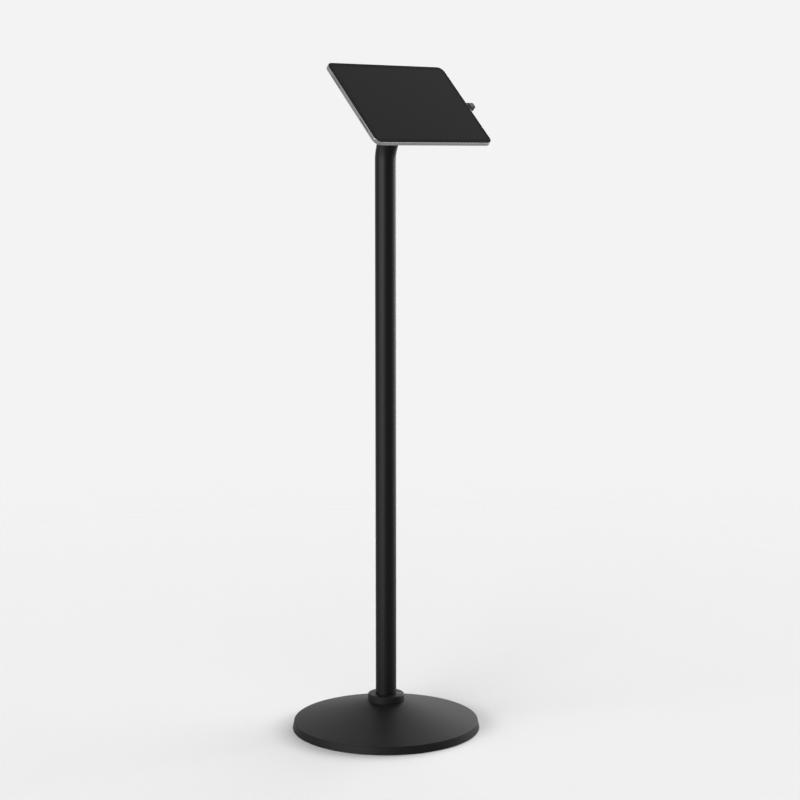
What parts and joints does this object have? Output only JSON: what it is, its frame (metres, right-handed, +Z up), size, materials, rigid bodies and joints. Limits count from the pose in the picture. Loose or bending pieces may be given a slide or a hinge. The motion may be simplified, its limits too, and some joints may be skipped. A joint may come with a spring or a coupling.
{
  "type": "tablet floor stand",
  "caption": "Floor stand with a low conical base, a bent round pole and a swivel holder carrying a tablet tilted for a standing reader, with a connector arm at its side.",
  "frame": {"origin": "on the floor under the axis of the pole", "axes": "+Z up along the pole; the tablet faces -Y and up; +X is the reader's right"},
  "size_m": [0.3184, 0.3184, 1.1141],
  "materials": {
    "powder_coat": "satin black powder coat",
    "black_steel": "black oxide",
    "bare_steel": "turned",
    "rubber": "matt",
    "nylon": "black",
    "moulding": "fine spark texture",
    "cap_grey": "fine spark texture",
    "silicone": "matt",
    "magnet": "nickel plate",
    "tablet_metal": "bead blasted and anodised grey",
    "glass": "polished black glass",
    "panel": "switched off",
    "cell": "film wrap",
    "board": "solder mask",
    "speaker": "matt",
    "port_steel": "satin",
    "lens": "coated glass"
  },
  "bodies": {
    "stand": {"base_cover": "powder_coat", "weight_plate": "black_steel", "hub": "black_steel", "hub_bolts": "black_steel", "foot_ring": "rubber", "cable_grommet": "rubber", "collar": "powder_coat", "collar_screws": "black_steel", "pole": "powder_coat", "neck_insert": "powder_coat", "stop_pin": "bare_steel", "friction_washer": "nylon", "disc_spring": "bare_steel", "swivel_retainer": "bare_steel", "retainer_screws": "bare_steel"},
    "holder": {"holder_body": "moulding", "holder_face": "moulding", "magnets": "magnet", "face_screws": "black_steel", "arm_stop_screw": "black_steel", "face_pads": "silicone", "tablet_plates": "bare_steel", "enclosure": "tablet_metal", "cover_glass": "glass", "display_panel": "panel", "battery_cells": "cell", "logic_board": "board", "speakers": "speaker", "charge_port": "port_steel", "camera_ring": "tablet_metal", "camera_lens": "lens", "camera_module": "speaker"},
    "connector": {"connector_arm": "powder_coat", "connector_cap": "cap_grey", "connector_plug": "port_steel", "connector_screw": "black_steel"},
    "power_button": {"power_button": "tablet_metal"},
    "volume_up_button": {"volume_up_button": "tablet_metal"},
    "volume_down_button": {"volume_down_button": "tablet_metal"}
  },
  "joints": [
    {"name": "swivel", "type": "hinge", "parent": "stand", "child": "holder", "pos_m": [0, -0.04348, 1.03128], "axis": [0, 0.7071, -0.7071], "range_deg": [0, 90]},
    {"name": "connector_slide", "type": "slide", "parent": "holder", "child": "connector", "axis": [1, 0, 0], "range_m": [0, 0.012]},
    {"name": "power_button_press", "type": "slide", "parent": "holder", "child": "power_button", "axis": [0, -0.7071, -0.7071], "range_m": [0, 0.0003], "stiffness_N_per_m": 2000},
    {"name": "volume_up_button_press", "type": "slide", "parent": "holder", "child": "volume_up_button", "axis": [0, -0.7071, -0.7071], "range_m": [0, 0.0003], "stiffness_N_per_m": 2000},
    {"name": "volume_down_button_press", "type": "slide", "parent": "holder", "child": "volume_down_button", "axis": [0, -0.7071, -0.7071], "range_m": [0, 0.0003], "stiffness_N_per_m": 2000}
  ]
}
